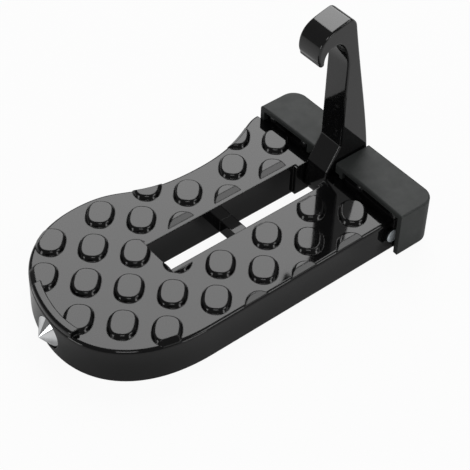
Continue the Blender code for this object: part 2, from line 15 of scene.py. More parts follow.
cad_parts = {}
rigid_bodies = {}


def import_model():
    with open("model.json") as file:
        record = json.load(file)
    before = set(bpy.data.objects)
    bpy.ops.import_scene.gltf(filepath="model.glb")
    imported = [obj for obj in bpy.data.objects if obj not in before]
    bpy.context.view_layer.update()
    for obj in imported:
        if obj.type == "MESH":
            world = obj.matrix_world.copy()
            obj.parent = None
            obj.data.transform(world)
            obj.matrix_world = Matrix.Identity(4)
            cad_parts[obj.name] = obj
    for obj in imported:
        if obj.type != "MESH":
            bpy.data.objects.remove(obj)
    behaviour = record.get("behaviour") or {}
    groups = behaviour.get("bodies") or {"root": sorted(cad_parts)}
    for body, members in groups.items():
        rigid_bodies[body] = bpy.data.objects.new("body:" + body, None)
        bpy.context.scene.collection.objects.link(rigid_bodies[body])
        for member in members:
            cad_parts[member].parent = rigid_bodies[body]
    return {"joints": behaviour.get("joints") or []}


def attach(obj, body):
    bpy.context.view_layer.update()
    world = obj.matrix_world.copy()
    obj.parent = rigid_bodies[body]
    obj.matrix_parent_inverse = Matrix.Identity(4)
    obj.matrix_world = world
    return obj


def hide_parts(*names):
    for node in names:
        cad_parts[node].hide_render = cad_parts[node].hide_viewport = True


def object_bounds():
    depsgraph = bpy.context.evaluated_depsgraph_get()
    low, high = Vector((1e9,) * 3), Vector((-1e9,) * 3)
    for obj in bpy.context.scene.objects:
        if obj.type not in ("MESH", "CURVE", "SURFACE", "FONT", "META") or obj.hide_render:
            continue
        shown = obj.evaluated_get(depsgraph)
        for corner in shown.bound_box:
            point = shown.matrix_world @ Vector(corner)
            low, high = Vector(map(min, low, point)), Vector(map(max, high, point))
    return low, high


MM = 0.001

# Construction
GAP = 0.3 * MM
OVERLAP = 1.0 * MM
SETBACK = 0.1 * MM
FAR = 60.0 * MM
QUARTER_REACH = 0.55
SHARP_ANGLE = 28.0
MERGE_DISTANCE = 0.005 * MM

# How finely the skins are drawn
TREAD_STEPS = 36
PAD_LIMIT_STEPS = 41
LIP_STEPS = 47
HOOK_STEPS = 18
RIM_STEPS = 8
HOOK_RIM_STEPS = 4
PAD_SEGMENTS = 64
PAD_EDGE_STEPS = 4
ROUND = 96

# Hinge pin
PIN_RADIUS = 2.5 * MM
PIN_HEAD_RADIUS = 3.5 * MM
PIN_HEAD_THICKNESS = 0.9 * MM

# Folding hook, side profile. A place is X and the height above the pin's axis. A bend is a heading in degrees
# and how far the curve is drawn along it before and after the place.
HOOK_WIDTH = 13.5 * MM
HOOK_EDGE = 0.95 * MM
HUB_RADIUS = 7.0 * MM
HUB_FRONT_REACH = 2.0 * MM
HEEL_LOW = (-6.1 * MM, 12.5 * MM)
HEEL_HIGH = (0.8 * MM, 24.6 * MM)
STRAP_FRONT_X = 1.0 * MM
STRAP_FOOT = 25.4 * MM
THROAT_FOOT = 69.7 * MM
THROAT_FOOT_BEND = (90, 10.0 * MM, 6.0 * MM)
THROAT_TOP = (-6.5 * MM, 85.1 * MM)
THROAT_TOP_BEND = (180, 3.6 * MM, 4.0 * MM)
TIP_IN = (-13.3 * MM, 78.4 * MM)
TIP_IN_BEND = (270, 5.0 * MM, 1.7 * MM)
TIP_OUT = (-15.9 * MM, 78.4 * MM)
TIP_OUT_BEND = (90, 1.7 * MM, 1.5 * MM)
JAW = (-16.9 * MM, 83.1 * MM)
JAW_BEND = (90, 3.5 * MM, 6.0 * MM)
SHOULDER = (-9.1 * MM, 93.4 * MM)
SHOULDER_BEND = (17, 4.5 * MM, 3.0 * MM)
CROWN = (-0.7 * MM, 95.5 * MM)
CROWN_BEND = (12, 2.5 * MM, 1.6 * MM)
BACK_TOP = (4.0 * MM, 91.1 * MM)
BACK_TOP_BEND = (280, 2.4 * MM, 5.0 * MM)
BACK_MIDDLE = (8.3 * MM, 69.1 * MM)
BACK_MIDDLE_BEND = (281.5, 7.0 * MM, 14.0 * MM)
BACK_FOOT = (18.4 * MM, 15.3 * MM)
BACK_FOOT_BEND = (276, 14.0 * MM, 2.0 * MM)
FOOT_ROUND = 4.6 * MM
FOOT_ROUND_REACH = 2.4 * MM

# Hinge
HUB_LIFT = 0.9 * MM
PIN_Z = HUB_RADIUS + HUB_LIFT
CHEEK_THICKNESS = 2.8 * MM
CHEEK_FRONT = 12.0 * MM
CHEEK_DROP = 0.6 * MM
LEDGE_RISE = 1.6 * MM

# Tread casting, plan outline
TREAD_LENGTH = 153.4 * MM
TOE_NOSE_Y = -4.5 * MM
TOE_REACH = (22.5 * MM, 15.0 * MM)
SIDE_Y = 45.0 * MM
SIDE_END_X = 102.5 * MM
SIDE_END_REACH = 34.5 * MM
LOBE_X = 105.5 * MM
LOBE_Y = 47.5 * MM
LOBE_REACH = (40.0 * MM, 25.0 * MM)
WAIST_X = 49.5 * MM
WAIST_Y = 35.0 * MM
WAIST_REACH = (35.0 * MM, 30.5 * MM)
HEEL_Y = 46.5 * MM
HEEL_REACH = 9.5 * MM

# Tread casting, section
SKIRT_HEIGHT = 17.8 * MM
DECK_THICKNESS = 3.2 * MM
WALL = 2.8 * MM
EDGE_RADIUS = 1.8 * MM
RIB_THICKNESS = 2.2 * MM
RIB_CLEARANCE = 3.0 * MM
RIB_X = (24.0 * MM, 80.0 * MM, 108.0 * MM)

# Slot and the bridge bar across it
SLOT_SIDE_CLEARANCE = 2.25 * MM
SLOT_END_CLEARANCE = 0.8 * MM
SLOT_WIDTH = HOOK_WIDTH + 2 * SLOT_SIDE_CLEARANCE
SLOT_FRONT = CROWN[1] + SLOT_END_CLEARANCE
SLOT_WALL_LIFT = 1.0 * MM
BAR_X = 51.6 * MM
BAR_WIDTH = 6.6 * MM
BAR_CLEARANCE = 1.0 * MM
BAR_TOP = PIN_Z + STRAP_FRONT_X - BAR_CLEARANCE

# Raised pads
PAD_LENGTH = 14.2 * MM
PAD_WIDTH = 10.7 * MM
PAD_SQUARENESS = 2.5
PAD_FLARE = 1.0 * MM
PAD_HEIGHT = 2.0 * MM
PAD_EDGE = 0.85 * MM
PAD_START = Vector((-143.6, -8.3)) * MM
PAD_STEP_I = Vector((12.33, -13.68)) * MM
PAD_STEP_J = Vector((14.33, 14.86)) * MM
PAD_ROWS = ((0, 2), (-1, 4), (-1, 5), (0, 6), (1, 6), (3, 4), (3, 4))
PAD_SLOT_MARGIN = 5.0 * MM
PAD_SLOT_SETBACK = 2.0 * MM
PAD_RIM_OVERHANG = 1.3 * MM

# Raised lip on the toe
LIP_HEIGHT = 3.0 * MM
LIP_WIDTH = 4.5 * MM
LIP_EDGE = 1.5 * MM
LIP_INNER_EDGE = 0.9 * MM
LIP_INSET = 0.15 * MM
LIP_FOOT_INSET = EDGE_RADIUS + 0.6 * MM
LIP_Y = (-14.7 * MM, 17.3 * MM)

# Rear flange
FLANGE_FRONT = -0.1 * MM
FLANGE_THICKNESS = 5.2 * MM
FLANGE_BOTTOM = 2.0 * MM

# Rubber bumper. Over the ledge its wings reach in to the mouth of the notch.
BUMPER_WALL = 2.4 * MM
PIN_HEAD_ROOM = 3.8 * MM
HEEL_STEP = 2.7 * MM
BUMPER_RIGHT = -(SIDE_Y + PIN_HEAD_ROOM + BUMPER_WALL)
BUMPER_LEFT = HEEL_Y - HEEL_STEP
BUMPER_FRONT = -2.6 * MM
BUMPER_BOW = 1.0 * MM
BUMPER_BACK = 19.0 * MM
BUMPER_BOTTOM = 1.3 * MM
BUMPER_RISE = 7.2 * MM
BUMPER_TOP = SKIRT_HEIGHT + BUMPER_RISE
BUMPER_CORNER = 7.5 * MM
BUMPER_EDGE = 1.0 * MM
NOTCH_CLEARANCE = 0.35 * MM
NOTCH_WALL = 1.8 * MM
NOTCH_MOUTH_CLEARANCE = 0.7 * MM
NOTCH_SILL_RISE = 0.2 * MM
NOTCH_SILL = SKIRT_HEIGHT + NOTCH_SILL_RISE
LEDGE_TOP = SKIRT_HEIGHT + LEDGE_RISE
LEDGE_BACK = BUMPER_BACK - BUMPER_WALL - GAP

# Studs that hold the bumper
STUD_SHARES = (0.4, 0.853)
STUD_HEAD_RADIUS = 2.1 * MM
STUD_HEAD_THICKNESS = 1.3 * MM
STUD_RADIUS = 1.2 * MM
STUD_LENGTH = 12.0 * MM
STUD_Z = BUMPER_TOP - BUMPER_WALL - GAP - STUD_HEAD_RADIUS

# Hammer tip
HAMMER_Y = 0.8 * MM
HAMMER_Z = 8.6 * MM
HAMMER_RADIUS = 7.2 * MM
HAMMER_CONE = 5.1 * MM
HAMMER_RIM = 0.8 * MM
HAMMER_POINT = 0.35 * MM
HAMMER_RECESS = 1.8 * MM
HAMMER_SHANK_RADIUS = 3.0 * MM
HAMMER_SHANK_LENGTH = 9.0 * MM
HAMMER_BOSS_RADIUS = 7.4 * MM

# Camera, fitted to the photo: place in metres, angles in degrees
CAMERA_PLACE = (-0.30071, -0.36357, 0.48401)
CAMERA_AZIMUTH = -41.110
CAMERA_ELEVATION = 44.703
CAMERA_ROLL = 2.353
CAMERA_LENS = 117.11
CAMERA_SENSOR = 36.0
CAMERA_SHIFT = (-0.0084, -0.0006)
CAMERA_CLIP = 0.01

# Studio: a soft box is azimuth and elevation in degrees, its side in metres and its radiance
BOX_DISTANCE = 2.4
SOFT_BOXES = (
    ("box_back", 139.0, 46.0, 1.6, 4.4),
    ("box_right", 38.0, 36.0, 1.0, 3.6),
    ("box_front", -41.0, 52.0, 0.7, 4.0),
    ("box_low_left", -98.0, 11.0, 0.7, 3.6),
    ("box_low_right", 14.0, 9.0, 0.6, 3.6),
)
WORLD_LEVEL = 0.18
FLOOR_SIZE = 12.0
FLOOR_COLOUR = 0.75
FLOOR_CLEARNESS = 0.94
FLOOR_MIRRORED_CLEARNESS = 0.1
FLOOR_ROUGHNESS = 0.9

# Materials: the radii that edges seem rounded by, and the depth of the rubber's grain
ENAMEL_SOFT_EDGE = 0.7 * MM
RUBBER_SOFT_EDGE = 0.4 * MM
PLATED_SOFT_EDGE = 0.15 * MM
RUBBER_GRAIN = 0.008 * MM


def add_object(name, data, collection=None):
    """Links an object to a collection, or to the drawing board, which is cleared when a piece is finished."""
    obj = bpy.data.objects.new(name, data)
    (collection or BOARD).objects.link(obj)
    return obj


def mesh_from(name, bm):
    bmesh.ops.recalc_face_normals(bm, faces=bm.faces)
    mesh = bpy.data.meshes.new(name)
    bm.to_mesh(mesh)
    bm.free()
    return mesh


def box_between(bm, low, high):
    """Adds a box to bm from its lowest to its highest corner."""
    size = Vector(high) - Vector(low)
    middle = (Vector(high) + Vector(low)) / 2
    matrix = Matrix.Translation(middle) @ Matrix.Diagonal((*size, 1.0))
    return bmesh.ops.create_cube(bm, size=1.0, matrix=matrix)["verts"]


def box_tool(name, low, high):
    bm = bmesh.new()
    box_between(bm, low, high)
    return add_object(name, mesh_from(name, bm))


def rod_tool(name, centre, radius, length, axis):
    """A round rod centred on a point, along one of the axes."""
    bm = bmesh.new()
    turn = Vector((0, 0, 1)).rotation_difference(Vector(axis)).to_matrix().to_4x4()
    matrix = Matrix.Translation(centre) @ turn
    bmesh.ops.create_cone(
        bm, cap_ends=True, segments=ROUND, radius1=radius, radius2=radius, depth=length, matrix=matrix
    )
    return add_object(name, mesh_from(name, bm))


def boolean(obj, operation, tool):
    modifier = obj.modifiers.new(operation.lower() + "_" + tool.name, "BOOLEAN")
    modifier.operation = operation
    modifier.solver = "EXACT"
    modifier.object = tool


def knot(x, y, heading=None, reach_in=0.0, reach_out=0.0):
    """A point of an outline. The curve passes it at heading, in degrees, and a reach of 0 leaves a corner."""
    point = Vector((x, y, 0.0))
    way = Vector((math.cos(math.radians(heading or 0.0)), math.sin(math.radians(heading or 0.0)), 0.0))
    return point - way * reach_in, point, point + way * reach_out


def outline_points(knots, steps):
    """Points along an outline, anticlockwise: one for each corner, and curved stretches in steps."""
    points = []
    for knot_here, knot_next in zip(knots, (*knots[1:], knots[0])):
        _, start, leave = knot_here
        arrive, end, _ = knot_next
        straight = (leave - start).length == 0 and (arrive - end).length == 0
        count = 2 if straight else steps + 1
        points += interpolate_bezier(start, leave, arrive, end, count)[:-1]
    area = sum(a.x * b.y - a.y * b.x for a, b in zip(points, points[1:] + points[:1]))
    return points if area > 0 else points[::-1]


def grown(points, distance):
    """The outline moved outwards by a distance, with mitred corners."""
    moved = []
    for before, here, after in zip(points[-1:] + points[:-1], points, points[1:] + points[:1]):
        into = (here - before).normalized()
        out = (after - here).normalized()
        side = Vector((into.y + out.y, -into.x - out.x, 0))
        moved.append(here + side * distance / (1 + into.dot(out)))
    return moved


def rim_levels(low, high, grow=0.0, rim=0.0, rim_steps=1, both=False):
    """Heights of a plate's rings and how far each is grown. The rim is rounded, or sloped in one step."""
    round_off = []
    for step in range(rim_steps + 1):
        turn = math.pi / 2 * step / rim_steps
        round_off.append((rim * math.sin(turn), rim * (1 - math.cos(turn))))
    top = [(high - rim + rise, grow - inward) for rise, inward in round_off] if rim else [(high, grow)]
    if both:
        bottom = [(low + rim - rise, grow - inward) for rise, inward in reversed(round_off)]
    else:
        bottom = [(low, grow)]
    return bottom + top


def plate(name, knots, levels, steps, upright=False):
    """A flat plate of the outline with one ring of points for each level. An upright plate is drawn in XZ."""
    points = outline_points(knots, steps)
    bm = bmesh.new()
    rings = []
    for height, grow in levels:
        ring = [bm.verts.new((point.x, point.y, height)) for point in grown(points, grow)]
        rings.append(ring)
    for lower, upper in zip(rings, rings[1:]):
        for i in range(len(points)):
            j = (i + 1) % len(points)
            bm.faces.new((lower[i], lower[j], upper[j], upper[i]))
    bm.faces.new(rings[0][::-1])
    bm.faces.new(rings[-1])
    if upright:
        bmesh.ops.transform(bm, matrix=Matrix.Rotation(math.pi / 2, 4, "X"), verts=bm.verts)
    return add_object(name, mesh_from(name, bm))


def turned(name, profile, along, place, segments=ROUND):
    """A turned piece: the profile is (radius, height) from top to bottom, and its top points along."""
    bm = bmesh.new()
    previous = None
    for radius, height in profile:
        vert = bm.verts.new((radius, 0, height))
        if previous:
            bm.edges.new((previous, vert))
        previous = vert
    mesh = bpy.data.meshes.new(name)
    bm.to_mesh(mesh)
    bm.free()
    obj = add_object(name, mesh)
    screw = obj.modifiers.new("turn", "SCREW")
    screw.axis = "Z"
    screw.steps = segments
    screw.render_steps = segments
    screw.use_merge_vertices = True
    screw.merge_threshold = MERGE_DISTANCE
    obj.rotation_euler = Vector((0, 0, 1)).rotation_difference(Vector(along)).to_euler()
    obj.location = place
    return obj


def rounded_head(radius, height, steps=8):
    """The profile of a domed head, from its top to its rim."""
    turns = [math.pi / 2 * step / steps for step in range(steps + 1)]
    return [(radius * math.sin(turn), height * math.cos(turn)) for turn in turns]


def finished(obj, body, node, material):
    """Keeps the piece's final mesh, clears the drawing board and puts the mesh in the node's place."""
    bpy.context.view_layer.update()
    graph = bpy.context.evaluated_depsgraph_get()
    mesh = bpy.data.meshes.new_from_object(obj.evaluated_get(graph))
    mesh.transform(Matrix.Translation(MODEL_PLACE) @ obj.matrix_world)
    name = obj.name
    for drawn in list(BOARD.objects):
        bpy.data.objects.remove(drawn)
    mesh.materials.clear()
    mesh.materials.append(material)
    mesh.shade_smooth()
    mesh.set_sharp_from_angle(angle=math.radians(SHARP_ANGLE))
    piece = add_object(name, mesh, bpy.context.scene.collection)
    weighted = piece.modifiers.new("flat_faces", "WEIGHTED_NORMAL")
    weighted.keep_sharp = True
    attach(piece, body)
    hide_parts(node)


def tread_outline():
    """The tread from above: straight side at -Y, round toe, waisted side at +Y, rear inside the flange."""
    rear = FLANGE_FRONT + FLANGE_THICKNESS - OVERLAP
    return (
        knot(rear, -SIDE_Y),
        knot(-SIDE_END_X, -SIDE_Y, 180, reach_out=SIDE_END_REACH),
        knot(-TREAD_LENGTH, TOE_NOSE_Y, 90, *TOE_REACH),
        knot(-LOBE_X, LOBE_Y, 0, *LOBE_REACH),
        knot(-WAIST_X, WAIST_Y, 0, *WAIST_REACH),
        knot(BUMPER_FRONT, HEEL_Y, 0, reach_in=HEEL_REACH),
        knot(rear, HEEL_Y),
    )


def underside_core():
    """What is hollow under the deck, with the slot's walls, the ribs and the hammer boss left standing."""
    ceiling = SKIRT_HEIGHT - DECK_THICKNESS
    core = plate("underside_core", tread_outline(), rim_levels(-FAR, ceiling, grow=-WALL), TREAD_STEPS)
    wall_y = SLOT_WIDTH / 2 + WALL
    slot_walls = box_tool("core_slot_walls", (-SLOT_FRONT - WALL, -wall_y, -2 * FAR), (FAR, wall_y, FAR))
    boolean(core, "DIFFERENCE", slot_walls)
    half = RIB_THICKNESS / 2
    for number, distance in enumerate((*RIB_X, BAR_X), start=1):
        low = (-distance - half, -2 * FAR, RIB_CLEARANCE)
        high = (-distance + half, 2 * FAR, FAR)
        boolean(core, "DIFFERENCE", box_tool(f"core_rib_{number}", low, high))
    low = (-2 * TREAD_LENGTH, HAMMER_Y - half, RIB_CLEARANCE)
    high = (-SLOT_FRONT, HAMMER_Y + half, FAR)
    boolean(core, "DIFFERENCE", box_tool("core_keel", low, high))
    boss_depth = HAMMER_RECESS + HAMMER_SHANK_LENGTH + 2 * GAP + WALL
    middle = (-TREAD_LENGTH, HAMMER_Y, HAMMER_Z)
    boss = rod_tool("core_hammer_boss", middle, HAMMER_BOSS_RADIUS, 2 * boss_depth, (1, 0, 0))
    boolean(core, "DIFFERENCE", boss)
    return core


def pad_centres():
    for j, (first, last) in enumerate(PAD_ROWS):
        for i in range(first, last + 1):
            centre = PAD_START + PAD_STEP_I * i + PAD_STEP_J * j
            in_slot = centre.x > -SLOT_FRONT and abs(centre.y) < PAD_SLOT_MARGIN
            if not in_slot:
                yield centre


def squared(share):
    """A coordinate of the unit circle, moved out towards a square."""
    return math.copysign(abs(share) ** (2 / PAD_SQUARENESS), share)


def pads():
    """Oval pads with a rounded top edge, trimmed along the slot and the tread's edge."""
    bm = bmesh.new()
    root = OVERLAP
    foot_growth = PAD_FLARE * (1 + root / PAD_HEIGHT)
    turn = Matrix.Rotation(math.atan2(PAD_STEP_J.y, PAD_STEP_J.x), 4, "Z")
    for centre in pad_centres():
        made = bmesh.ops.create_cone(
            bm,
            cap_ends=True,
            segments=PAD_SEGMENTS,
            radius1=1.0,
            radius2=1.0,
            depth=PAD_HEIGHT + root,
        )["verts"]
        top = [vert for vert in made if vert.co.z > 0]
        for vert in made:
            growth = 0.0 if vert.co.z > 0 else foot_growth
            vert.co.x = (PAD_LENGTH / 2 + growth) * squared(vert.co.x)
            vert.co.y = (PAD_WIDTH / 2 + growth) * squared(vert.co.y)
        edges = {edge for vert in top for edge in vert.link_edges if all(end in top for end in edge.verts)}
        middle = Vector((centre.x, centre.y, SKIRT_HEIGHT + (PAD_HEIGHT - root) / 2))
        bmesh.ops.transform(bm, matrix=Matrix.Translation(middle) @ turn, verts=made)
        bmesh.ops.bevel(
            bm,
            geom=list(edges),
            offset=PAD_EDGE,
            segments=PAD_EDGE_STEPS,
            profile=0.5,
            affect="EDGES",
        )
    grid = add_object("pad_grid", mesh_from("pad_grid", bm))

    reach = PAD_HEIGHT + OVERLAP
    inset = EDGE_RADIUS - PAD_RIM_OVERHANG
    levels = rim_levels(SKIRT_HEIGHT - reach, SKIRT_HEIGHT + reach, grow=-inset, rim=reach)
    boolean(grid, "INTERSECT", plate("pad_limit", tread_outline(), levels, PAD_LIMIT_STEPS))

    wedge = bmesh.new()
    low = (-SLOT_FRONT, -SLOT_WIDTH / 2, SKIRT_HEIGHT - PAD_SLOT_SETBACK)
    high = (FAR, SLOT_WIDTH / 2, SKIRT_HEIGHT + reach)
    for vert in box_between(wedge, low, high):
        if vert.co.z > SKIRT_HEIGHT:
            vert.co.y += math.copysign(reach + PAD_SLOT_SETBACK, vert.co.y)
            if vert.co.x < 0:
                vert.co.x -= OVERLAP
    boolean(grid, "DIFFERENCE", add_object("pad_slot_trim", mesh_from("pad_slot_trim", wedge)))
    return grid


def toe_lip():
    """The ridge along the front of the toe. It stands on the deck's rounded edge and is cut off square."""
    low = SKIRT_HEIGHT - EDGE_RADIUS
    high = SKIRT_HEIGHT + LIP_HEIGHT
    ridge = rim_levels(SKIRT_HEIGHT, high, grow=-LIP_INSET, rim=LIP_EDGE, rim_steps=RIM_STEPS)
    lip = plate("toe_lip", tread_outline(), [(low, -LIP_FOOT_INSET), *ridge], LIP_STEPS)
    levels = [(low - FAR, -LIP_WIDTH)]
    for step in range(RIM_STEPS + 1):
        angle = math.pi / 2 * step / RIM_STEPS
        height = high - LIP_INNER_EDGE * (1 - math.sin(angle))
        levels.append((height, LIP_INNER_EDGE * (1 - math.cos(angle)) - LIP_WIDTH))
    levels.append((high + FAR, LIP_INNER_EDGE - LIP_WIDTH))
    boolean(lip, "DIFFERENCE", plate("toe_lip_inside", tread_outline(), levels, LIP_STEPS))
    reach = box_tool("toe_lip_reach", (-2 * TREAD_LENGTH, LIP_Y[0], -FAR), (-LOBE_X, LIP_Y[1], 2 * FAR))
    boolean(lip, "INTERSECT", reach)
    return lip


def hinge_half():
    """Half the width of the hub with both cheeks."""
    return HOOK_WIDTH / 2 + GAP + CHEEK_THICKNESS


def notch_half():
    return hinge_half() + NOTCH_CLEARANCE


def stud_places():
    middle = (BUMPER_RIGHT + BUMPER_LEFT) / 2
    half = (BUMPER_LEFT - BUMPER_RIGHT) / 2
    return sorted(middle + side * share * half for side in (-1, 1) for share in STUD_SHARES)


def flange():
    """The upright plate that carries the bumper, lowered in the middle where the hook passes."""
    low = (FLANGE_FRONT, BUMPER_RIGHT + BUMPER_WALL + GAP, FLANGE_BOTTOM)
    back = FLANGE_FRONT + FLANGE_THICKNESS
    high = (back, BUMPER_LEFT - BUMPER_WALL + OVERLAP, BUMPER_TOP - BUMPER_WALL - GAP)
    body = box_tool("flange", low, high)
    gate_y = notch_half() + NOTCH_WALL + GAP
    gate = box_tool("flange_gate", (-FAR, -gate_y, SKIRT_HEIGHT - GAP), (FAR, gate_y, FAR))
    boolean(body, "DIFFERENCE", gate)
    return body


def hinge_block():
    """The cheeks beside the hub and the ledge that the upright hook leans on."""
    half = hinge_half()
    low = (-CHEEK_FRONT, -half, SLOT_WALL_LIFT)
    high = (LEDGE_BACK, half, SKIRT_HEIGHT - CHEEK_DROP)
    block = box_tool("hinge_block", low, high)
    low = (HUB_RADIUS - OVERLAP, SETBACK - half, SKIRT_HEIGHT - CHEEK_DROP - OVERLAP)
    high = (LEDGE_BACK - SETBACK, half - SETBACK, LEDGE_TOP)
    boolean(block, "UNION", box_tool("hinge_ledge", low, high))
    return block


def slot_cutters():
    """The slot's three openings, which leave the bridge bar, and the trim under the slot's walls."""
    half = SLOT_WIDTH / 2
    bar_front = -BAR_X - BAR_WIDTH / 2
    bar_back = -BAR_X + BAR_WIDTH / 2
    rear = OVERLAP - CHEEK_FRONT
    rim = WALL + OVERLAP
    yield box_tool("slot_above_bar", (-SLOT_FRONT, -half, BAR_TOP), (rear, half, FAR))
    yield box_tool("slot_front", (-SLOT_FRONT, -half, -FAR), (bar_front, half, BAR_TOP + OVERLAP))
    yield box_tool("slot_rear", (bar_back, -half, -FAR), (rear, half, BAR_TOP + OVERLAP))
    low = (-SLOT_FRONT - rim, -half - rim, -FAR)
    yield box_tool("slot_wall_trim", low, (FAR, half + rim, SLOT_WALL_LIFT))


def bores():
    """Room for the hub, the pin with its head, the hammer tip and the studs."""
    hub_half = HOOK_WIDTH / 2 + GAP
    yield box_tool("hub_room", (-CHEEK_FRONT - OVERLAP, -hub_half, -FAR), (HUB_RADIUS + GAP, hub_half, FAR))

    bore_end = hinge_half() + GAP
    bore_start = -SIDE_Y - FAR
    middle = (0, (bore_start + bore_end) / 2, PIN_Z)
    yield rod_tool("pin_bore", middle, PIN_RADIUS + GAP, bore_end - bore_start, (0, 1, 0))
    middle = (0, -SIDE_Y - SETBACK - FAR / 2, PIN_Z)
    yield rod_tool("pin_head_room", middle, PIN_HEAD_RADIUS + 2 * GAP, FAR, (0, 1, 0))

    seat = HAMMER_RECESS - TREAD_LENGTH
    middle = (seat - FAR / 2, HAMMER_Y, HAMMER_Z)
    yield rod_tool("hammer_recess", middle, HAMMER_RADIUS + GAP, FAR, (1, 0, 0))
    depth = HAMMER_SHANK_LENGTH + 2 * GAP
    middle = (seat, HAMMER_Y, HAMMER_Z)
    yield rod_tool("hammer_socket", middle, HAMMER_SHANK_RADIUS + GAP, 2 * depth, (1, 0, 0))

    for number, y in enumerate(stud_places(), start=1):
        middle = (FLANGE_FRONT, y, STUD_Z)
        yield rod_tool(f"stud_hole_{number}", middle, STUD_RADIUS + GAP, 4 * FLANGE_THICKNESS, (1, 0, 0))


def tread_casting(material):
    levels = rim_levels(0, SKIRT_HEIGHT, rim=EDGE_RADIUS, rim_steps=RIM_STEPS)
    casting = plate("casting_skin", tread_outline(), levels, TREAD_STEPS)
    boolean(casting, "DIFFERENCE", underside_core())
    boolean(casting, "UNION", flange())
    corner = (BUMPER_FRONT - GAP, BUMPER_LEFT - BUMPER_WALL - GAP, -FAR)
    boolean(casting, "DIFFERENCE", box_tool("heel_corner_trim", corner, (FAR, 2 * FAR, FAR)))
    boolean(casting, "UNION", pads())
    boolean(casting, "UNION", toe_lip())
    for cutter in slot_cutters():
        boolean(casting, "DIFFERENCE", cutter)
    boolean(casting, "UNION", hinge_block())
    for cutter in bores():
        boolean(casting, "DIFFERENCE", cutter)
    finished(casting, "step", "tread_casting", material)


def bumper_outline():
    """The bumper seen from above, with a slightly hollow front."""
    corner = BUMPER_CORNER
    bend = corner * QUARTER_REACH
    third = (BUMPER_LEFT - BUMPER_RIGHT) / 3
    bow = math.degrees(math.atan2(BUMPER_BOW * 4 / 3, third))
    return (
        knot(BUMPER_FRONT, BUMPER_RIGHT, 270 - bow, reach_in=third),
        knot(BUMPER_BACK - corner, BUMPER_RIGHT, 0, reach_out=bend),
        knot(BUMPER_BACK, BUMPER_RIGHT + corner, 90, reach_in=bend),
        knot(BUMPER_BACK, BUMPER_LEFT - corner, 90, reach_out=bend),
        knot(BUMPER_BACK - corner, BUMPER_LEFT, 180, reach_in=bend),
        knot(BUMPER_FRONT, BUMPER_LEFT, 270 + bow, reach_out=third),
    )


def bumper(material):
    """The rubber cover of the flange: two wings joined by a low sill behind the hook."""
    levels = rim_levels(BUMPER_BOTTOM, BUMPER_TOP, rim=BUMPER_EDGE, rim_steps=RIM_STEPS, both=True)
    cover = plate("bumper_skin", bumper_outline(), levels, HOOK_STEPS)
    front = BUMPER_FRONT - OVERLAP
    back = FLANGE_FRONT + FLANGE_THICKNESS + GAP
    top = BUMPER_TOP - BUMPER_WALL
    half = notch_half()
    inner = half + NOTCH_WALL
    mouth = HOOK_WIDTH / 2 + NOTCH_MOUTH_CLEARANCE
    rooms = (
        ("pocket_right", (front, BUMPER_RIGHT + BUMPER_WALL, -FAR), (back, -inner, top)),
        ("pocket_left", (front, inner, -FAR), (back, BUMPER_LEFT - BUMPER_WALL, top)),
        ("pocket_middle", (front, -inner - OVERLAP, -FAR), (back, inner + OVERLAP, NOTCH_SILL + GAP)),
        ("notch", (front, -half, -FAR), (LEDGE_BACK + GAP, half, LEDGE_TOP + GAP)),
        ("notch_mouth", (front, -mouth, LEDGE_TOP), (FAR, mouth, FAR)),
        ("notch_back", (LEDGE_BACK, -mouth, NOTCH_SILL), (FAR, mouth, LEDGE_TOP + OVERLAP)),
    )
    for name, low, high in rooms:
        boolean(cover, "DIFFERENCE", box_tool(name, low, high))
    for number, y in enumerate(stud_places(), start=1):
        middle = (FLANGE_FRONT, y, STUD_Z)
        depth = STUD_LENGTH + 2 * GAP
        hole = rod_tool(f"bumper_hole_{number}", middle, STUD_RADIUS + GAP, 2 * depth, (1, 0, 0))
        boolean(cover, "DIFFERENCE", hole)
    finished(cover, "step", "bumper", material)


def bumper_studs(material):
    profile = (
        *rounded_head(STUD_HEAD_RADIUS, STUD_HEAD_THICKNESS),
        (STUD_RADIUS, 0),
        (STUD_RADIUS, -STUD_LENGTH),
        (0, -STUD_LENGTH),
    )
    for number, y in enumerate(stud_places(), start=1):
        seat = (FLANGE_FRONT - GAP, y, STUD_Z)
        stud = turned(f"stud_skin_{number}", profile, (-1, 0, 0), seat)
        finished(stud, "step", f"bumper_stud_{number}", material)


def hinge_pin(material):
    face = SIDE_Y + GAP
    length = face + hinge_half() - GAP
    profile = (
        *rounded_head(PIN_HEAD_RADIUS, PIN_HEAD_THICKNESS),
        (PIN_RADIUS, 0),
        (PIN_RADIUS, -length),
        (0, -length),
    )
    pin = turned("pin_skin", profile, (0, -1, 0), (0, -face, PIN_Z))
    finished(pin, "step", "hinge_pin", material)


def hammer_tip(material):
    """The chromed cone that breaks side glass, with its shank in the toe's boss."""
    shoulder = HAMMER_RIM
    point = shoulder + HAMMER_CONE
    profile = (
        (0, point),
        (HAMMER_POINT, point - HAMMER_POINT / 2),
        (HAMMER_RADIUS, shoulder),
        (HAMMER_RADIUS, 0),
        (HAMMER_SHANK_RADIUS, 0),
        (HAMMER_SHANK_RADIUS, -HAMMER_SHANK_LENGTH),
        (0, -HAMMER_SHANK_LENGTH),
    )
    seat = (HAMMER_RECESS - TREAD_LENGTH - GAP, HAMMER_Y, HAMMER_Z)
    tip = turned("hammer_skin", profile, (-1, 0, 0), seat)
    finished(tip, "step", "hammer_tip", material)


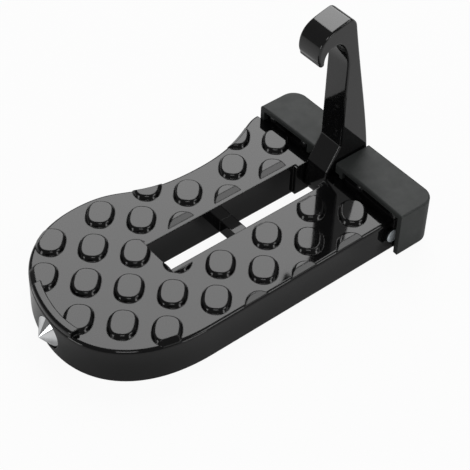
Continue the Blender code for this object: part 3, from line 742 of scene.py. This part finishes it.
def hook_outline():
    """The hook from the side, in X and height above the pin, from hub, heel and strap to crown and back."""
    hub = HUB_RADIUS
    bend = hub * QUARTER_REACH
    underside = LEDGE_TOP + GAP - PIN_Z
    return (
        knot(hub, 0, 270, reach_out=bend),
        knot(0, -hub, 180, bend, bend),
        knot(-hub, 0, 90, bend, HUB_FRONT_REACH),
        knot(*HEEL_LOW),
        knot(*HEEL_HIGH),
        knot(STRAP_FRONT_X, STRAP_FOOT),
        knot(STRAP_FRONT_X, THROAT_FOOT, *THROAT_FOOT_BEND),
        knot(*THROAT_TOP, *THROAT_TOP_BEND),
        knot(*TIP_IN, *TIP_IN_BEND),
        knot(*TIP_OUT, *TIP_OUT_BEND),
        knot(*JAW, *JAW_BEND),
        knot(*SHOULDER, *SHOULDER_BEND),
        knot(*CROWN, *CROWN_BEND),
        knot(*BACK_TOP, *BACK_TOP_BEND),
        knot(*BACK_MIDDLE, *BACK_MIDDLE_BEND),
        knot(*BACK_FOOT, *BACK_FOOT_BEND),
        knot(BACK_FOOT[0] - FOOT_ROUND, underside, 180, reach_in=FOOT_ROUND_REACH),
        knot(hub, underside),
    )


def folding_hook(material):
    half = HOOK_WIDTH / 2
    levels = rim_levels(-half, half, rim=HOOK_EDGE, rim_steps=HOOK_RIM_STEPS, both=True)
    hook = plate("hook_skin", hook_outline(), levels, HOOK_STEPS, upright=True)
    hook.location = (0, 0, PIN_Z)
    boolean(hook, "DIFFERENCE", rod_tool("hook_bore", (0, 0, PIN_Z), PIN_RADIUS + GAP, FAR, (0, 1, 0)))
    finished(hook, "hook", "folding_hook", material)


def shader_of(name):
    """A new material's node tree and its shader."""
    material = bpy.data.materials.new(name)
    material.use_nodes = True
    tree = material.node_tree
    return material, tree, tree.nodes["Principled BSDF"]


def noise_field(tree, scale, detail, spot=(0.0, 0.0, 0.0)):
    """Noise over the model's own coordinates. Scale is in features per metre."""
    place = tree.nodes.new("ShaderNodeTexCoord")
    mapping = tree.nodes.new("ShaderNodeMapping")
    mapping.inputs["Location"].default_value = spot
    noise = tree.nodes.new("ShaderNodeTexNoise")
    noise.inputs["Scale"].default_value = scale
    noise.inputs["Detail"].default_value = detail
    tree.links.new(place.outputs["Object"], mapping.inputs["Vector"])
    tree.links.new(mapping.outputs["Vector"], noise.inputs["Vector"])
    return noise.outputs["Fac"]


def spread(tree, field, low, high, start=0.3, end=0.7):
    """The field spread over a range of values."""
    ramp = tree.nodes.new("ShaderNodeMapRange")
    ramp.inputs["From Min"].default_value = start
    ramp.inputs["From Max"].default_value = end
    ramp.inputs["To Min"].default_value = low
    ramp.inputs["To Max"].default_value = high
    tree.links.new(field, ramp.inputs["Value"])
    return ramp.outputs["Result"]


def tint(tree, field, dark, light):
    """A colour that the field varies between two."""
    mix = tree.nodes.new("ShaderNodeMix")
    mix.data_type = "RGBA"
    mix.inputs["A"].default_value = (*dark, 1.0)
    mix.inputs["B"].default_value = (*light, 1.0)
    tree.links.new(spread(tree, field, 0.0, 1.0), mix.inputs["Factor"])
    return mix.outputs["Result"]


def relief(tree, shader, field, depth, edge_radius):
    """Fine surface relief, over edges that look rounded by a small radius."""
    edges = tree.nodes.new("ShaderNodeBevel")
    edges.samples = 6
    edges.inputs["Radius"].default_value = edge_radius
    bump = tree.nodes.new("ShaderNodeBump")
    bump.inputs["Strength"].default_value = 1.0
    bump.inputs["Distance"].default_value = depth
    tree.links.new(field, bump.inputs["Height"])
    tree.links.new(edges.outputs["Normal"], bump.inputs["Normal"])
    tree.links.new(bump.outputs["Normal"], shader.inputs["Normal"])


def enamel(name, dark, light, roughness, index, wave_depth):
    """Gloss black enamel over a smooth casting, with a faint orange-peel wave and slightly uneven gloss."""
    material, tree, shader = shader_of(name)
    tree.links.new(tint(tree, noise_field(tree, 60.0, 3.0), dark, light), shader.inputs["Base Color"])
    gloss = spread(tree, noise_field(tree, 140.0, 4.0, (3.0, 1.0, 2.0)), roughness * 0.8, roughness * 1.3)
    tree.links.new(gloss, shader.inputs["Roughness"])
    shader.inputs["IOR"].default_value = index
    relief(tree, shader, noise_field(tree, 420.0, 1.0, (5.0, 7.0, 1.0)), wave_depth, ENAMEL_SOFT_EDGE)
    return material


def moulded_rubber(name):
    """Satin black rubber with a fine moulded grain."""
    material, tree, shader = shader_of(name)
    colour = tint(tree, noise_field(tree, 45.0, 3.0), (0.036, 0.039, 0.038), (0.038, 0.0415, 0.04))
    tree.links.new(colour, shader.inputs["Base Color"])
    gloss = spread(tree, noise_field(tree, 220.0, 3.0, (2.0, 4.0, 6.0)), 0.53, 0.6)
    tree.links.new(gloss, shader.inputs["Roughness"])
    shader.inputs["Specular IOR Level"].default_value = 0.28
    grain = noise_field(tree, 2600.0, 2.0, (1.0, 9.0, 4.0))
    relief(tree, shader, grain, RUBBER_GRAIN, RUBBER_SOFT_EDGE)
    return material


def plated(name, colour, roughness, metallic, wave_depth):
    """Bright plating with slightly uneven gloss. Metallic is the share that mirrors as metal does."""
    material, tree, shader = shader_of(name)
    dark = tuple(0.9 * part for part in colour)
    tree.links.new(tint(tree, noise_field(tree, 300.0, 4.0), dark, colour), shader.inputs["Base Color"])
    gloss = spread(tree, noise_field(tree, 900.0, 3.0, (4.0, 2.0, 8.0)), roughness * 0.7, roughness * 1.4)
    tree.links.new(gloss, shader.inputs["Roughness"])
    shader.inputs["Metallic"].default_value = metallic
    relief(tree, shader, noise_field(tree, 700.0, 2.0, (6.0, 3.0, 5.0)), wave_depth, PLATED_SOFT_EDGE)
    return material


def floor():
    """A plain pale floor at the object's lowest point.

    Camera and transmission rays see it as nearly white, with some of the object's shadow. Glossy rays see
    mostly its own lit colour.
    """
    low, _ = CAD_BOX
    bm = bmesh.new()
    bmesh.ops.create_circle(bm, cap_ends=True, segments=64, radius=FLOOR_SIZE)
    ground = add_object("floor", mesh_from("floor", bm), bpy.context.scene.collection)
    ground.location = (0, 0, low.z)
    material, tree, shader = shader_of("white_floor")
    shader.inputs["Base Color"].default_value = (FLOOR_COLOUR, FLOOR_COLOUR, FLOOR_COLOUR, 1.0)
    shader.inputs["Roughness"].default_value = FLOOR_ROUGHNESS
    shader.inputs["Specular IOR Level"].default_value = 0.0
    ways = tree.nodes.new("ShaderNodeLightPath")
    clearness = None
    shares = (
        ("Is Camera Ray", FLOOR_CLEARNESS),
        ("Is Transmission Ray", FLOOR_CLEARNESS),
        ("Is Glossy Ray", FLOOR_MIRRORED_CLEARNESS),
    )
    for way, amount in shares:
        share = tree.nodes.new("ShaderNodeMath")
        share.operation = "MULTIPLY_ADD"
        share.use_clamp = True
        share.inputs[1].default_value = amount
        share.inputs[2].default_value = 0.0
        tree.links.new(ways.outputs[way], share.inputs[0])
        if clearness:
            tree.links.new(clearness, share.inputs[2])
        clearness = share.outputs["Value"]
    white = tree.nodes.new("ShaderNodeEmission")
    white.inputs["Strength"].default_value = 1.0
    mix = tree.nodes.new("ShaderNodeMixShader")
    tree.links.new(clearness, mix.inputs["Fac"])
    tree.links.new(shader.outputs["BSDF"], mix.inputs[1])
    tree.links.new(white.outputs["Emission"], mix.inputs[2])
    tree.links.new(mix.outputs["Shader"], tree.nodes["Material Output"].inputs["Surface"])
    ground.data.materials.append(material)


def direction(azimuth, elevation):
    """The way from the object to a place at azimuth, 0 at -Y and 90 at +X, and elevation above the floor."""
    a = math.radians(azimuth)
    e = math.radians(elevation)
    return Vector((math.sin(a) * math.cos(e), -math.cos(a) * math.cos(e), math.sin(e)))


def soft_boxes():
    for name, azimuth, elevation, side, radiance in SOFT_BOXES:
        lamp = bpy.data.lights.new(name, "AREA")
        lamp.shape = "SQUARE"
        lamp.size = side
        lamp.energy = radiance * math.pi * side**2
        away = direction(azimuth, elevation)
        obj = add_object(name, lamp, bpy.context.scene.collection)
        obj.location = away * BOX_DISTANCE
        obj.rotation_euler = away.to_track_quat("Z", "Y").to_euler()


def world():
    surroundings = bpy.data.worlds.new("studio")
    surroundings.use_nodes = True
    background = surroundings.node_tree.nodes["Background"]
    background.inputs["Color"].default_value = (1.0, 1.0, 1.0, 1.0)
    background.inputs["Strength"].default_value = WORLD_LEVEL
    bpy.context.scene.world = surroundings


def camera():
    """The photo's own view."""
    back = direction(CAMERA_AZIMUTH, CAMERA_ELEVATION)
    level_right = Vector((0, 0, 1)).cross(back).normalized()
    level_up = back.cross(level_right)
    roll = math.radians(CAMERA_ROLL)
    right = level_right * math.cos(roll) + level_up * math.sin(roll)
    up = level_up * math.cos(roll) - level_right * math.sin(roll)
    lens = bpy.data.cameras.new("camera")
    lens.lens = CAMERA_LENS
    lens.sensor_width = CAMERA_SENSOR
    lens.shift_x, lens.shift_y = CAMERA_SHIFT
    lens.clip_start = CAMERA_CLIP
    obj = add_object("camera", lens, bpy.context.scene.collection)
    obj.matrix_world = Matrix.Translation(CAMERA_PLACE) @ Matrix((right, up, back)).transposed().to_4x4()
    bpy.context.scene.camera = obj


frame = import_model()
CAD_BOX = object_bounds()
BOARD = bpy.data.collections.new("drawing_board")
bpy.context.scene.collection.children.link(BOARD)
hinge_place = frame["joints"][0]["pos_m"]
MODEL_PLACE = Vector((hinge_place[0], hinge_place[1], 0.0))

tread_casting(enamel(
    "casting_enamel",
    dark=(0.003, 0.003, 0.0032),
    light=(0.005, 0.005, 0.0053),
    roughness=0.06,
    index=1.42,
    wave_depth=0.0008 * MM,
))
folding_hook(enamel(
    "hook_enamel",
    dark=(0.003, 0.003, 0.0032),
    light=(0.005, 0.005, 0.0053),
    roughness=0.06,
    index=1.57,
    wave_depth=0.0006 * MM,
))
bumper(moulded_rubber("bumper_rubber"))
bumper_studs(enamel(
    "stud_enamel",
    dark=(0.008, 0.008, 0.0085),
    light=(0.012, 0.012, 0.0125),
    roughness=0.14,
    index=1.52,
    wave_depth=0.001 * MM,
))
hinge_pin(plated(
    "pin_zinc",
    colour=(0.85, 0.92, 0.96),
    roughness=0.35,
    metallic=0.25,
    wave_depth=0.002 * MM,
))
hammer_tip(plated(
    "hammer_chrome",
    colour=(0.88, 0.89, 0.9),
    roughness=0.06,
    metallic=1.0,
    wave_depth=0.0005 * MM,
))

floor()
soft_boxes()
world()
camera()
bpy.context.scene.view_settings.view_transform = "Standard"
